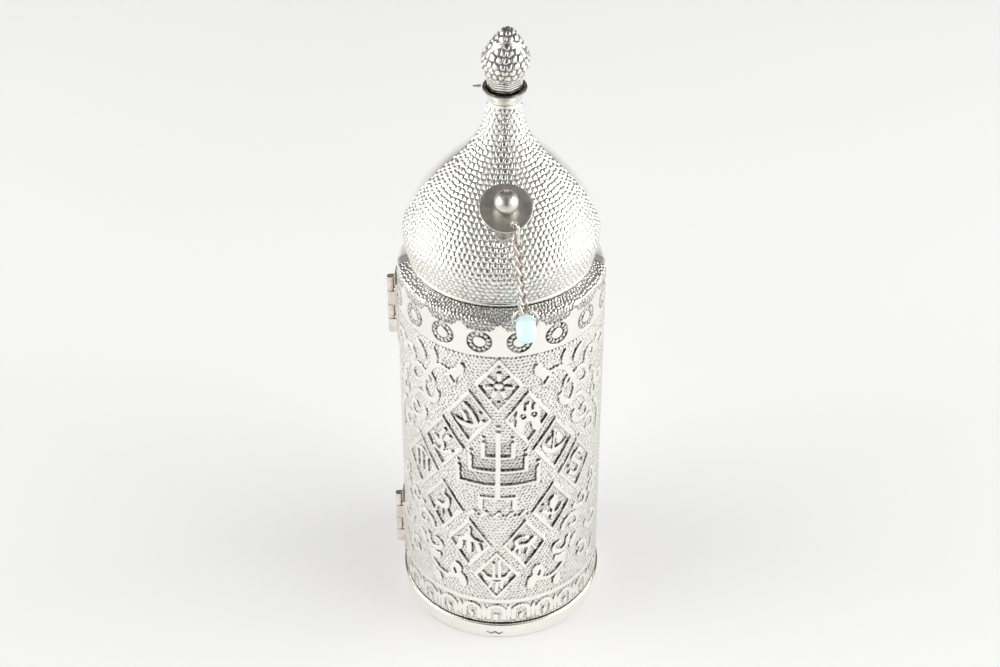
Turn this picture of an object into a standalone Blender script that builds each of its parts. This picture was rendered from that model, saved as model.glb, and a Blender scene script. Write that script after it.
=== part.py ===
"""Domed scroll case in silver plate: a hinged half-round front, a plain half-round back, a bead on a chain.

Metres, +Z up. The case stands on z = 0 with its axis on Z, and its decorated front faces -Y.
The two halves part on the X-Z plane. The front half swings on two box hinges at -X.
"""

import math

import bmesh
import bpy
from mathutils import Matrix, Vector

MM = 0.001

# Driving dimensions.
BODY_RADIUS = 32.5 * MM
WALL = 1.0 * MM
WALL_TOP = 134.4 * MM
REAR_WALL_TOP = 132.8 * MM
SHOULDER_TOP = 137.0 * MM
DOME_FOOT_RADIUS = 28.3 * MM
FLOOR = 1.0 * MM
GAP = 0.3 * MM

# The parting between the halves. The rear half reaches just past the axis.
FRONT_CUT = -0.5 * MM
REAR_CUT = FRONT_CUT + GAP
BUD_SPLIT_HEIGHT = 206.8 * MM
BUD_SPLIT_SLOPE = 0.458

# The hand-raised neck and bud stand a little off the axis, towards +X.
LEAN_START = 150 * MM
LEAN_END = 197 * MM
LEAN = 1.0 * MM
BUD_LEAN_START = 203 * MM
BUD_LEAN_SLOPE = 0.06

BODY_STEPS = 64
DOME_STEPS = 48
NECK_STEPS = 32
WIRE_SIDES_STEPS = 2

# Outlines of the turned shapes, from top to bottom, as (radius, height) in millimetres.
DOME_STATIONS = (
    (4.9, 193.2), (5.4, 188.5), (7.3, 182), (11.7, 175.5), (17.6, 169),
    (23.0, 162.5), (27.1, 156), (30.0, 149), (29.6, 143), (28.3, 137.3),
)
DOME_INNER_STATIONS = (
    (27.4, 137.3), (28.7, 143), (29.1, 149), (26.2, 155.6), (16.8, 168.4), (6.5, 181.5), (4.0, 193.2),
)
BUD_STATIONS = (
    (0, 217.1), (1.7, 216), (3.6, 213.5), (5.2, 211), (7.0, 206.8), (6.3, 203), (5.2, 199.6), (4.7, 194.9),
)
BUD_INNER_STATIONS = ((3.7, 194.9), (4.2, 199.6), (5.3, 203), (5.9, 206.8), (2.4, 213), (0, 215.2))
COLLAR_OUTLINE = (
    (5.9, 197.4), (6.7, 197.4), (6.7, 196.2), (5.6, 193.5),
    (3.9, 193.5), (3.9, 194.6), (5.3, 194.6), (5.9, 195.4),
)
FOOT_OUTLINE = ((32.8, 5.6), (33.3, 5.6), (33.6, 5.2), (33.6, 0.4), (33.3, 0), (32.8, 0))

# Hinges: four knuckles each, on one axis outside the wall.
HINGE_X = -34.8 * MM
HINGE_Y = (FRONT_CUT + REAR_CUT) / 2
HINGE_BOTTOMS = {"lower_hinge": 14 * MM, "upper_hinge": 106 * MM}
HINGE_HEIGHT = 22 * MM
KNUCKLES = 4
KNUCKLE_RADIUS = 1.05 * MM
BORE_RADIUS = 0.62 * MM
PIN_RADIUS = 0.5 * MM
LEAF_THICKNESS = 0.6 * MM
LEAF_WIDTH = 4.6 * MM
LEAF_EDGE = 0.5 * MM

# The lip inside the rear half's free edge, which the front half closes over.
LIP_THICKNESS = 0.7 * MM
LIP_HALF_ANGLE = math.radians(8)
LIP_HEIGHTS = (8 * MM, 128 * MM)

# The knob on the dome: a stepped post, a disc and a ball on one steep axis.
KNOB_ELEVATION = math.radians(60)
KNOB_LEAN = 0.03
DISC_CENTRE = Vector((1.3, -33.0, 176.7)) * MM
DISC_RADIUS = 7.8 * MM
DISC_THICKNESS = 0.9 * MM
POST_LENGTH = 21 * MM
POST_OUTLINE = ((2.1, 0), (2.1, 13.4), (2.45, 13.4), (2.45, 14.8), (2.95, 14.8), (2.95, 21))
SPIGOT_RADIUS = 1.0 * MM
SPIGOT_REACH = 3.0 * MM
SPIGOT_HOLE = 1.3 * MM
BALL_RADIUS = 3.6 * MM
PEG_LENGTH = 2.4 * MM
PEG_HEIGHT = 196.8 * MM
PEG_RADII = (0.5 * MM, 0.25 * MM)

# The chain: it hangs from a hole near the disc's edge.
WIRE = 0.8 * MM
CHAIN_HOLE_RADIUS = 0.95 * MM
CHAIN_HOLE_ACROSS = 2.5 * MM
CHAIN_HOLE_DOWN = 5.3 * MM
JUMP_WIDTH = 2.35 * MM
JUMP_LENGTH = 6.9 * MM
LINKS = 7
LINK_PITCH = 3.62 * MM
LINK_WIDTH = 2.2 * MM
CHAIN_LEAN = math.radians(5.4)
RING_RADIUS = 3.75 * MM
RING_WIRE = 0.84 * MM
BEAD_RADIUS = 4.4 * MM
BEAD_HOLE_RADIUS = 1.9 * MM
BEAD_LENGTH = 6.2 * MM
BEAD_DROP = 3.4 * MM


def clear_scene():
    for obj in list(bpy.data.objects):
        bpy.data.objects.remove(obj, do_unlink=True)


def new_collection(name, hidden=False):
    collection = bpy.data.collections.new(name)
    collection.hide_render = hidden
    bpy.context.scene.collection.children.link(collection)
    return collection


def material(name, colour, metallic, roughness):
    made = bpy.data.materials.new(name)
    made.use_nodes = True
    shader = made.node_tree.nodes["Principled BSDF"]
    shader.inputs["Base Color"].default_value = (*colour, 1)
    shader.inputs["Metallic"].default_value = metallic
    shader.inputs["Roughness"].default_value = roughness
    return made


def add_object(name, data, finish=None):
    """A part, or a cutter where it has no finish."""
    obj = bpy.data.objects.new(name, data)
    if finish:
        data.materials.append(finish)
        PARTS.objects.link(obj)
    else:
        CUTTERS.objects.link(obj)
        obj.hide_render = True
        obj.display_type = "WIRE"
    return obj


def mesh_from(bm, name):
    bmesh.ops.recalc_face_normals(bm, faces=bm.faces)
    mesh = bpy.data.meshes.new(name)
    bm.to_mesh(mesh)
    bm.free()
    return mesh


def shade(obj):
    obj.data.shade_smooth()
    obj.data.set_sharp_from_angle(angle=math.radians(35))


def in_metres(outline):
    return [(radius * MM, height * MM) for radius, height in outline]


def smooth(stations, steps=2):
    """A Catmull-Rom curve through the stations."""
    ends = [stations[0], *stations, stations[-1]]
    points = []
    for before, start, end, after in zip(ends, ends[1:], ends[2:], ends[3:]):
        a, b, c, d = (Vector(p) for p in (before, start, end, after))
        bend, twist = 2 * a - 5 * b + 4 * c - d, 3 * b - a - 3 * c + d
        for step in range(steps):
            t = step / steps
            points.append((2 * b + (c - a) * t + bend * t**2 + twist * t**3) / 2)
    points.append(Vector(stations[-1]))
    return [(max(point.x, 0), point.y) for point in points]


def turned(name, outline, steps, finish=None, closed=True):
    """A solid of revolution about Z, from an outline that runs down its outer side first."""
    bm = bmesh.new()
    points = [bm.verts.new((radius, 0, height)) for radius, height in outline]
    for start, end in zip(points, points[1:]):
        bm.edges.new((start, end))
    if closed:
        bm.edges.new((points[-1], points[0]))
    mesh = bpy.data.meshes.new(name)
    bm.to_mesh(mesh)
    bm.free()
    obj = add_object(name, mesh, finish)
    screw = obj.modifiers.new("turn", "SCREW")
    screw.axis = "Z"
    screw.steps = screw.render_steps = steps
    screw.use_merge_vertices = True
    screw.merge_threshold = 0.00001
    return obj


def prism(name, outline, half_width):
    """A cutter with a Y-Z outline, as wide as twice half_width along X."""
    bm = bmesh.new()
    face = bm.faces.new([bm.verts.new((-half_width, y, z)) for y, z in outline])
    extruded = bmesh.ops.extrude_face_region(bm, geom=[face])
    moved = [item for item in extruded["geom"] if isinstance(item, bmesh.types.BMVert)]
    bmesh.ops.translate(bm, verts=moved, vec=(2 * half_width, 0, 0))
    return add_object(name, mesh_from(bm, name))


def cylinder(name, radius, length, place, steps=24, finish=None):
    """A cylinder along its own Z, centred on the place."""
    bm = bmesh.new()
    bmesh.ops.create_cone(
        bm, cap_ends=True, segments=steps, radius1=radius, radius2=radius, depth=length, matrix=place
    )
    return add_object(name, mesh_from(bm, name), finish)


def boolean(obj, tool, operation):
    modifier = obj.modifiers.new(operation.lower(), "BOOLEAN")
    modifier.operation = operation
    modifier.solver = "EXACT"
    modifier.object = tool


def freeze(obj):
    """Gives the object the mesh that its modifiers make."""
    graph = bpy.context.evaluated_depsgraph_get()
    mesh = bpy.data.meshes.new_from_object(obj.evaluated_get(graph))
    obj.modifiers.clear()
    obj.data = mesh


def lean_at(height):
    share = min(max((height - LEAN_START) / (LEAN_END - LEAN_START), 0), 1)
    return LEAN * share**2 * (3 - 2 * share) + BUD_LEAN_SLOPE * max(height - BUD_LEAN_START, 0)


def lean(obj):
    """Moves the neck and bud off the axis."""
    freeze(obj)
    for vertex in obj.data.vertices:
        vertex.co.x += lean_at(vertex.co.z)


def half_space(name, cut, side):
    """The front (side -1) or rear (side 1) half. Above the bud's widest point the parting tilts forward."""
    far = side * 80 * MM
    low, high = -10 * MM, 230 * MM
    tilt = BUD_SPLIT_SLOPE * (high - BUD_SPLIT_HEIGHT)
    outline = ((far, low), (cut, low), (cut, BUD_SPLIT_HEIGHT), (cut - tilt, high), (far, high))
    return prism(name, outline, 60 * MM)


def shell_outline(wall_top):
    """The wall and its sloping shoulder, ending in the flange under the dome."""
    inner = BODY_RADIUS - WALL
    flange = DOME_FOOT_RADIUS - 1.7 * MM
    return (
        (flange, SHOULDER_TOP),
        (DOME_FOOT_RADIUS + 0.1 * MM, SHOULDER_TOP),
        (BODY_RADIUS - 0.9 * MM, wall_top + 0.9 * MM),
        (BODY_RADIUS, wall_top),
        (BODY_RADIUS, FLOOR + GAP),
        (inner, FLOOR + GAP),
        (inner, wall_top - 0.5 * MM),
        (inner - 0.5 * MM, wall_top + 0.1 * MM),
        (DOME_FOOT_RADIUS - 0.2 * MM, SHOULDER_TOP - WALL),
        (flange, SHOULDER_TOP - WALL),
    )


def halves(part, outlines, steps, closed=True, leaning=False):
    """The front and the rear half of one turned part."""
    for side, outline, half in zip(("front", "rear"), outlines, (FRONT_HALF, REAR_HALF)):
        obj = turned(f"{side}_{part}", outline, steps, SILVER, closed)
        boolean(obj, half, "INTERSECT")
        if leaning:
            lean(obj)
        shade(obj)


def make_case():
    halves("shell", (shell_outline(WALL_TOP), shell_outline(REAR_WALL_TOP)), BODY_STEPS)
    floor = ((0, FLOOR), (BODY_RADIUS, FLOOR), (BODY_RADIUS, 0), (0, 0))
    halves("floor", (floor, floor), BODY_STEPS, closed=False)
    halves("foot_rim", [in_metres(FOOT_OUTLINE)] * 2, BODY_STEPS)
    dome = in_metres([*smooth(DOME_STATIONS), *DOME_INNER_STATIONS])
    halves("dome", (dome, dome), DOME_STEPS, leaning=True)
    halves("collar", [in_metres(COLLAR_OUTLINE)] * 2, NECK_STEPS, leaning=True)
    bud = in_metres([*smooth(BUD_STATIONS), *BUD_INNER_STATIONS])
    halves("bud", (bud, bud), NECK_STEPS, closed=False, leaning=True)


def sector(name, inner, outer, low, high, start, end, finish):
    """A plate curved about Z, between two radii, two heights and two angles."""
    bm = bmesh.new()
    corners = ((inner, low), (outer, low), (outer, high), (inner, high))
    turn = Matrix.Rotation(start, 4, "Z")
    face = bm.faces.new([bm.verts.new(turn @ Vector((radius, 0, z))) for radius, z in corners])
    bmesh.ops.spin(
        bm, geom=[face, *face.edges, *face.verts], axis=(0, 0, 1), cent=(0, 0, 0), angle=end - start, steps=6
    )
    return add_object(name, mesh_from(bm, name), finish)


def make_lip():
    outer = BODY_RADIUS - WALL - GAP
    lip = sector(
        "closing_lip", outer - LIP_THICKNESS, outer, *LIP_HEIGHTS, -LIP_HALF_ANGLE, LIP_HALF_ANGLE, SILVER
    )
    shade(lip)


def make_leaf(hinge, bottom, side, knuckles):
    """One leaf on the wall (side -1 front, 1 rear), with arms that reach round the pin."""
    inner = BODY_RADIUS + GAP
    outer = inner + LEAF_THICKNESS
    edge = HINGE_Y + side * LEAF_EDGE
    start = math.pi - math.asin(edge / outer)
    end = start - side * LEAF_WIDTH / outer
    name = f"{hinge}_{'front' if side < 0 else 'rear'}_leaf"
    leaf = sector(name, inner, outer, bottom, bottom + HINGE_HEIGHT, start, end, NICKEL)
    pitch = HINGE_HEIGHT / KNUCKLES
    arm_y = HINGE_Y + side * (KNUCKLE_RADIUS - LEAF_THICKNESS / 2)
    for index in knuckles:
        middle = bottom + (index + 0.5) * pitch
        length = pitch - GAP
        barrel_place = Matrix.Translation((HINGE_X, HINGE_Y, middle))
        barrel = cylinder(f"{name}_barrel_{index}", KNUCKLE_RADIUS, length, barrel_place, 20)
        bm = bmesh.new()
        reach = -inner - 0.35 * MM - HINGE_X
        size = Matrix.Diagonal((reach, LEAF_THICKNESS, length, 1))
        bmesh.ops.create_cube(
            bm, size=1, matrix=Matrix.Translation((HINGE_X + reach / 2, arm_y, middle)) @ size
        )
        arm = add_object(f"{name}_arm_{index}", mesh_from(bm, "arm"))
        boolean(leaf, arm, "UNION")
        boolean(leaf, barrel, "UNION")
    bore = cylinder(
        f"{name}_bore",
        BORE_RADIUS,
        HINGE_HEIGHT + 4 * MM,
        Matrix.Translation((HINGE_X, HINGE_Y, bottom + HINGE_HEIGHT / 2)),
        16,
    )
    boolean(leaf, bore, "DIFFERENCE")
    shade(leaf)


def make_hinges():
    for hinge, bottom in HINGE_BOTTOMS.items():
        make_leaf(hinge, bottom, -1, (0, 2))
        make_leaf(hinge, bottom, 1, (1, 3))
        middle = Matrix.Translation((HINGE_X, HINGE_Y, bottom + HINGE_HEIGHT / 2))
        shade(cylinder(f"{hinge}_pin", PIN_RADIUS, HINGE_HEIGHT - 2 * MM, middle, 16, NICKEL))


def knob_frame():
    """Local Z runs out along the knob's axis, and local Y runs up the face of its disc."""
    axis = Vector((KNOB_LEAN, -math.cos(KNOB_ELEVATION), math.sin(KNOB_ELEVATION))).normalized()
    across = Vector((0, math.sin(KNOB_ELEVATION), math.cos(KNOB_ELEVATION))).cross(axis).normalized()
    frame = Matrix((across, axis.cross(across), axis)).transposed().to_4x4()
    frame.translation = DISC_CENTRE
    return frame


def make_post(frame):
    """The post is turned, and its foot follows the dome."""
    top = -DISC_THICKNESS / 2 - GAP
    outline = [(0, SPIGOT_REACH), (SPIGOT_RADIUS, SPIGOT_REACH), (SPIGOT_RADIUS, top)]
    outline += [(radius * MM, top - depth * MM) for radius, depth in POST_OUTLINE]
    outline.append((0, top - POST_LENGTH))
    post = turned("knob_post", outline, 24, STEEL, closed=False)
    post.matrix_world = frame
    clearance = [(radius + GAP / MM, height) for radius, height in smooth(DOME_STATIONS)]
    dome = turned("dome_clearance", in_metres([(0, 193.2), *clearance, (0, 137.3)]), DOME_STEPS, closed=False)
    lean(dome)
    boolean(post, dome, "DIFFERENCE")
    shade(post)


def make_disc(frame):
    disc = cylinder("knob_disc", DISC_RADIUS, DISC_THICKNESS, Matrix(), 48, STEEL)
    bevel = disc.modifiers.new("edge", "BEVEL")
    bevel.width = 0.15 * MM
    bevel.limit_method = "ANGLE"
    disc.matrix_world = frame
    holes = {
        "spigot_hole": (SPIGOT_HOLE, (0, 0, 0)),
        "chain_hole": (CHAIN_HOLE_RADIUS, (CHAIN_HOLE_ACROSS, -CHAIN_HOLE_DOWN, 0)),
    }
    for name, (radius, centre) in holes.items():
        boolean(disc, cylinder(name, radius, 6 * MM, frame @ Matrix.Translation(centre), 20), "DIFFERENCE")
    shade(disc)


def make_ball(frame):
    centre = DISC_THICKNESS / 2 + GAP + BALL_RADIUS - 0.1 * MM
    bm = bmesh.new()
    bmesh.ops.create_uvsphere(bm, u_segments=24, v_segments=14, radius=BALL_RADIUS)
    ball = add_object("knob_ball", mesh_from(bm, "knob_ball"), STEEL)
    ball.matrix_world = frame @ Matrix.Translation((0, 0, centre))
    mouth = DISC_THICKNESS / 2 + GAP
    base = frame @ Matrix.Translation((0, 0, mouth - 2 * MM))
    boolean(ball, cylinder("ball_base", 6 * MM, 4 * MM, base, 24), "DIFFERENCE")
    depth = SPIGOT_REACH + GAP
    bore = frame @ Matrix.Translation((0, 0, depth / 2))
    boolean(ball, cylinder("ball_bore", SPIGOT_HOLE, depth, bore, 20), "DIFFERENCE")
    shade(ball)


def make_peg():
    """A short tapered peg that stands out of the collar at -X."""
    start = lean_at(PEG_HEIGHT) - COLLAR_OUTLINE[1][0] * MM - GAP
    bm = bmesh.new()
    place = Matrix.Translation((start - PEG_LENGTH / 2, REAR_CUT + 0.9 * MM, PEG_HEIGHT))
    bmesh.ops.create_cone(
        bm,
        cap_ends=True,
        segments=16,
        radius1=PEG_RADII[0],
        radius2=PEG_RADII[1],
        depth=PEG_LENGTH,
        matrix=place @ Matrix.Rotation(-math.pi / 2, 4, "Y"),
    )
    shade(add_object("collar_peg", mesh_from(bm, "collar_peg"), NICKEL))


def wire_loop(name, points, wire, place):
    """A closed wire through the points."""
    curve = bpy.data.curves.new(name, "CURVE")
    curve.dimensions = "3D"
    curve.bevel_depth = wire / 2
    curve.bevel_resolution = WIRE_SIDES_STEPS
    spline = curve.splines.new("POLY")
    spline.points.add(len(points) - 1)
    for target, point in zip(spline.points, points):
        target.co = (*point, 1)
    spline.use_cyclic_u = True
    obj = add_object(name, curve, NICKEL)
    obj.matrix_world = place
    return obj


def oval(length, width, count, twist=0.0):
    """An oval in the local X-Z plane, turned about Z by twist radians for each metre of height."""
    points = []
    straight = (length - width) / 2
    for index in range(count):
        angle = 2 * math.pi * index / count
        height = width / 2 * math.cos(angle) + math.copysign(straight, math.cos(angle))
        side = width / 2 * math.sin(angle)
        if abs(math.cos(angle)) < 0.01:
            height = 0
        turn = twist * height
        points.append((side * math.cos(turn), side * math.sin(turn), height))
    return points


def make_chain(frame):
    """The jump link through the disc, the chain, the ring and the bead, each hanging in the one above."""
    hole = frame @ Vector((CHAIN_HOLE_ACROSS, -CHAIN_HOLE_DOWN, 0))
    outwards = frame.to_3x3() @ Vector((CHAIN_HOLE_ACROSS, -CHAIN_HOLE_DOWN, 0))
    outwards.z = 0
    outwards.normalize()
    jump_angle = math.atan2(outwards.y, outwards.x)
    jump_turn = Matrix.Rotation(jump_angle, 4, "Z")
    jump_top = hole + outwards * (JUMP_WIDTH / 2 + 0.05 * MM) + Vector((0, 0, 1.0 * MM))
    jump_place = Matrix.Translation(jump_top - Vector((0, 0, JUMP_LENGTH / 2))) @ jump_turn
    wire_loop("jump_link", oval(JUMP_LENGTH, JUMP_WIDTH, 16), WIRE, jump_place)

    down = Vector((math.sin(CHAIN_LEAN), 0, -math.cos(CHAIN_LEAN)))
    tilt = Matrix.Rotation(-CHAIN_LEAN, 4, "Y")
    length = LINK_PITCH + GAP + WIRE
    centre = jump_top + Vector((0, 0, WIRE + GAP - JUMP_LENGTH)) + down * (length / 2)
    # Each link crosses the next at a right angle, and the last crosses the ring, which faces -Y, at one too.
    twist = math.pi / 2 + (jump_angle + math.pi / 2) / LINKS
    for index in range(LINKS):
        turn = jump_angle + math.pi / 2 - twist / 2 + index * (math.pi / 2 - twist)
        place = Matrix.Translation(centre + down * LINK_PITCH * index) @ tilt @ Matrix.Rotation(turn, 4, "Z")
        wire_loop(f"chain_link_{index + 1}", oval(length, LINK_WIDTH, 16, twist / LINK_PITCH), WIRE, place)

    last_end = centre + down * (LINK_PITCH * (LINKS - 1) + length / 2)
    ring_centre = last_end + down * (RING_RADIUS - WIRE / 2 - GAP - RING_WIRE / 2)
    bpy.ops.mesh.primitive_torus_add(
        major_radius=RING_RADIUS, minor_radius=RING_WIRE / 2, major_segments=32, minor_segments=8
    )
    ring_place = Matrix.Translation(ring_centre) @ tilt
    ring = adopt("bead_ring", ring_place @ Matrix.Rotation(math.pi / 2, 4, "X"), NICKEL)
    shade(ring)

    tube = (BEAD_RADIUS - BEAD_HOLE_RADIUS) / 2
    bpy.ops.mesh.primitive_torus_add(
        major_radius=BEAD_HOLE_RADIUS + tube, minor_radius=tube, major_segments=28, minor_segments=14
    )
    bead_place = Matrix.Translation(ring_centre + down * BEAD_DROP) @ tilt
    bead = adopt("glass_bead", bead_place @ Matrix.Rotation(math.pi / 2, 4, "Y"), GLASS)
    bead.data.transform(Matrix.Diagonal((1, 1, BEAD_LENGTH / 2 / tube, 1)))
    shade(bead)


def adopt(name, place, finish):
    """Takes the primitive that was just added as a named part."""
    obj = bpy.context.object
    obj.name = obj.data.name = name
    for collection in list(obj.users_collection):
        collection.objects.unlink(obj)
    PARTS.objects.link(obj)
    obj.data.materials.append(finish)
    obj.matrix_world = place
    return obj


clear_scene()
PARTS = new_collection("scroll_case")
CUTTERS = new_collection("cutters", hidden=True)
SILVER = material("silver_plate", (0.86, 0.84, 0.80), 1, 0.22)
STEEL = material("dull_nickel", (0.55, 0.54, 0.52), 1, 0.35)
NICKEL = material("nickel_wire", (0.72, 0.69, 0.67), 1, 0.3)
GLASS = material("turquoise_glass", (0.35, 0.85, 0.92), 0, 0.08)
FRONT_HALF = half_space("front_half_space", FRONT_CUT, -1)
REAR_HALF = half_space("rear_half_space", REAR_CUT, 1)
make_case()
make_lip()
make_hinges()
KNOB = knob_frame()
make_post(KNOB)
make_disc(KNOB)
make_ball(KNOB)
make_peg()
make_chain(KNOB)
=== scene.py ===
"""The looks of the domed scroll case: embossed silver, a hammered dome, and a glass bead on a chain.

Lengths are in millimetres until a mesh is made, and metres in Blender. Angles about the case's axis
are measured from the front (-Y), positive towards +X.
"""

import math

import bmesh
import bpy
import numpy as np
from mathutils import Matrix, Vector


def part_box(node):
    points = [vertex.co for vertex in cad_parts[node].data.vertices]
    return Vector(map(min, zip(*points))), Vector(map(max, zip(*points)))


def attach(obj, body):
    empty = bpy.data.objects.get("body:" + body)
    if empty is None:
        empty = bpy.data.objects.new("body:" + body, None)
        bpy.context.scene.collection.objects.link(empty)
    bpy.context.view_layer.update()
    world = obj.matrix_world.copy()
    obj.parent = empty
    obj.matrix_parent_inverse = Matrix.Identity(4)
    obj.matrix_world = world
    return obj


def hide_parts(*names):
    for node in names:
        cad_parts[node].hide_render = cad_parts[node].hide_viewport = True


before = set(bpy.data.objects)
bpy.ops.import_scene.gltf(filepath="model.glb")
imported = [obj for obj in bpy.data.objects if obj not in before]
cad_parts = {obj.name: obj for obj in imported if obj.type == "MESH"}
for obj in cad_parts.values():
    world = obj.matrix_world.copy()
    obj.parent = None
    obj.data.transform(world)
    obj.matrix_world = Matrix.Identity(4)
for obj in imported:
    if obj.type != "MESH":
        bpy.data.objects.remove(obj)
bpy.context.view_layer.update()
MM = 0.001


def low(node):
    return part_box(node)[0] / MM


def high(node):
    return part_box(node)[1] / MM


def middle(node):
    return (low(node) + high(node)) / 2


# Sizes read from the frame.
WALL_RADIUS = -low("front_shell").y
WALL_BOTTOM = low("front_shell").z
SHOULDER_TOP = high("front_shell").z
FRONT_CUT = high("front_shell").y
REAR_CUT = low("rear_shell").y
FOOT_RADIUS = -low("front_foot_rim").y
FOOT_TOP = high("front_foot_rim").z

# Outlines of the turned shapes, as (radius, height).
WALL = 1.0
INNER_RADIUS = WALL_RADIUS - WALL
WALL_TOP = 134.4
REAR_WALL_TOP = 132.8
DOME_STATIONS = (
    (28.3, 137.3), (29.6, 143), (30.0, 149), (27.1, 156), (23.0, 162.5),
    (17.6, 169), (11.7, 175.5), (7.3, 182), (5.4, 188.5), (4.9, 193.2),
)
DOME_INNER = (
    (4.0, 193.2), (6.5, 181.5), (16.8, 168.4), (26.2, 155.6), (29.1, 149), (28.7, 143), (27.4, 137.3),
)
DOME_WIDTH, DOME_SHADE_RADIUS = 28, 22
BUD_WIDTH = 7
BUD_STATIONS = (
    (4.7, 194.9), (5.2, 199.6), (6.3, 203), (7.0, 206.8), (5.2, 211), (3.6, 213.5), (1.7, 216), (0, 217.1),
)
BUD_INNER = ((0, 215.2), (2.4, 213), (5.9, 206.8), (5.3, 203), (4.2, 199.6), (3.7, 194.9))
BUD_SPLIT_HEIGHT = 206.8
BUD_SPLIT_SLOPE = 0.458

# The neck and bud stand a little off the axis, towards +X.
LEAN_START, LEAN_END, LEAN = 150, 197, 1.0
BUD_LEAN_START, BUD_LEAN_SLOPE = 203, 0.06

# The knob's axis and the chain that hangs from its disc.
KNOB_ELEVATION = math.radians(60)
KNOB_LEAN = 0.03
CHAIN_HOLE = Vector((2.5, -5.3, 0))
CHAIN_HOLE_RADIUS, POST_HOLE = 1.2, 1.3
CHAIN_LEAN = math.radians(5.4)
# The first and the last link's turn about the chain.
LINK_TURNS = (math.radians(64), math.radians(36))
LINKS = 7
LINK_PITCH, LINK_PLAY, LINK_WIDTH = 3.62, 0.3, 2.6
RING_SIZE = 3.75
WIRE, JUMP_WIRE, RING_WIRE = 0.92, 0.85, 0.84

# Spacing of the mesh on the decorated surfaces, and how far the wall's middle part reaches to each side.
FIELD_STEP = 0.225
DOME_STEP = 0.26
BUD_STEP = 0.22
MIDDLE_SHARE = 0.42

# The layout of the decoration on the wall.
TURN_AT_TOP, TURN_SLOPE, TURN_HEIGHT, TURN_END = -1.3, 0.0158, 110, 140
LOZENGE_TOP, LOZENGE_DROP, LOZENGE_SHIFT = 109.6, 13.57, 9.3
LOZENGE_HALF_WIDTH, LOZENGE_HALF_HEIGHT = 7.65, 11.1
LOZENGE_FRAME = 1.15
BAND_BOTTOM = 121.25
BASE_LINE = (15.4, 17.3)
BASE_GROOVE = 5.9
RING_SPACING, RING_HEIGHT, RING_RADIUS, RING_BEADS = 21.5, 126.75, 2.95, 13
MARGIN_ANGLE, MARGIN_FADE = 81.5, 1.5
FLANGE_START, FLANGE_FULL = 138.8, 139.3

# Beyond REACH from a stroke or a patch its distance doesn't matter, and counts as FAR.
# NO_LENGTH keeps a stroke of a single point from dividing by zero.
REACH, FAR = 2.0, 99.0
NO_LENGTH = 1e-9

SHARP_EDGE = math.radians(40)
INSIDE_TARNISH = 0.12


def smoothstep(start, end, value):
    share = np.clip((value - start) / (end - start), 0, 1)
    return share * share * (3 - 2 * share)


def blend(first, second, share):
    return first * (1 - share) + second * share


def ridge(offset, width):
    """1 on a line, fading out over about the width at both sides."""
    return np.exp(-((offset / width) ** 2))


def degrees_aside(angle):
    """How far an angle in radians is from the front, in degrees."""
    return np.abs(np.degrees(angle))


def scatter(row, column, seed):
    """Repeatable numbers from 0 to 1, one for each pair of whole numbers."""
    mixed = np.sin(row * 12.9898 + column * 78.233 + seed * 37.719) * 43758.5453
    return mixed - np.floor(mixed)


def through(points, steps=6):
    """A smooth (Catmull-Rom) curve through the points."""
    ends = [points[0], *points, points[-1]]
    made = []
    for before, start, end, after in zip(ends, ends[1:], ends[2:], ends[3:]):
        a, b, c, d = (np.array(p, float) for p in (before, start, end, after))
        bend, twist = 2 * a - 5 * b + 4 * c - d, 3 * b - a - 3 * c + d
        for step in range(steps):
            t = step / steps
            made.append((2 * b + (c - a) * t + bend * t**2 + twist * t**3) / 2)
    made.append(np.array(points[-1], float))
    return np.array(made)


def lengths_along(points):
    """How far along the line each of its points is."""
    return np.concatenate([[0], np.cumsum(np.linalg.norm(np.diff(points, axis=0), axis=1))])


def evenly(points, spacing):
    """The same line with points at about that spacing."""
    points = np.array(points, float)
    lengths = lengths_along(points)
    count = max(round(lengths[-1] / spacing), 1)
    places = np.linspace(0, lengths[-1], count + 1)
    return np.stack([np.interp(places, lengths, column) for column in points.T], axis=1)


def lean_at(height):
    """How far the neck and the bud stand towards +X."""
    share = smoothstep(LEAN_START, LEAN_END, height)
    return LEAN * share + BUD_LEAN_SLOPE * np.maximum(height - BUD_LEAN_START, 0)


# Decoration: distances are in the unrolled wall's plane, negative inside a shape.


def close_to(u, z, points, reach):
    lows, highs = points.min(axis=0) - reach, points.max(axis=0) + reach
    return (u > lows[0]) & (u < highs[0]) & (z > lows[1]) & (z < highs[1])


def stroke(u, z, points, width, end_width=None):
    """Distance from a stroke through the points, which may get thinner towards its end."""
    points = np.array(points, float)
    if len(points) == 1:
        points = np.repeat(points, 2, axis=0)
    end_width = width if end_width is None else end_width
    near = close_to(u, z, points, width / 2 + REACH)
    near_u, near_z = u[near], z[near]
    best = np.full(near_u.shape, FAR)
    last = len(points) - 1
    for index, (start, end) in enumerate(zip(points, points[1:])):
        du, dz = end - start
        from_u, from_z = near_u - start[0], near_z - start[1]
        share = np.clip((from_u * du + from_z * dz) / (du * du + dz * dz + NO_LENGTH), 0, 1)
        thick = width + (end_width - width) * (index + share) / last
        best = np.minimum(best, np.hypot(from_u - share * du, from_z - share * dz) - thick / 2)
    distance = np.full(u.shape, FAR)
    distance[near] = best
    return distance


def patch(u, z, points):
    """Distance from a filled shape with a smooth closed outline through the points."""
    outline = through([*points[-2:], *points, *points[:2]], 4)[8:-4]
    distance = stroke(u, z, outline, 0)
    near = distance < FAR
    near_u, near_z = u[near], z[near]
    inside = np.zeros(near_u.shape, bool)
    for (start_u, start_z), (end_u, end_z) in zip(outline, outline[1:]):
        if start_z != end_z:
            crosses = (start_z > near_z) != (end_z > near_z)
            crossing = start_u + (near_z - start_z) / (end_z - start_z) * (end_u - start_u)
            inside ^= crosses & (near_u < crossing)
    distance[near] *= np.where(inside, -1, 1)
    return distance


def union(*distances):
    return np.minimum.reduce(distances)


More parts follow.
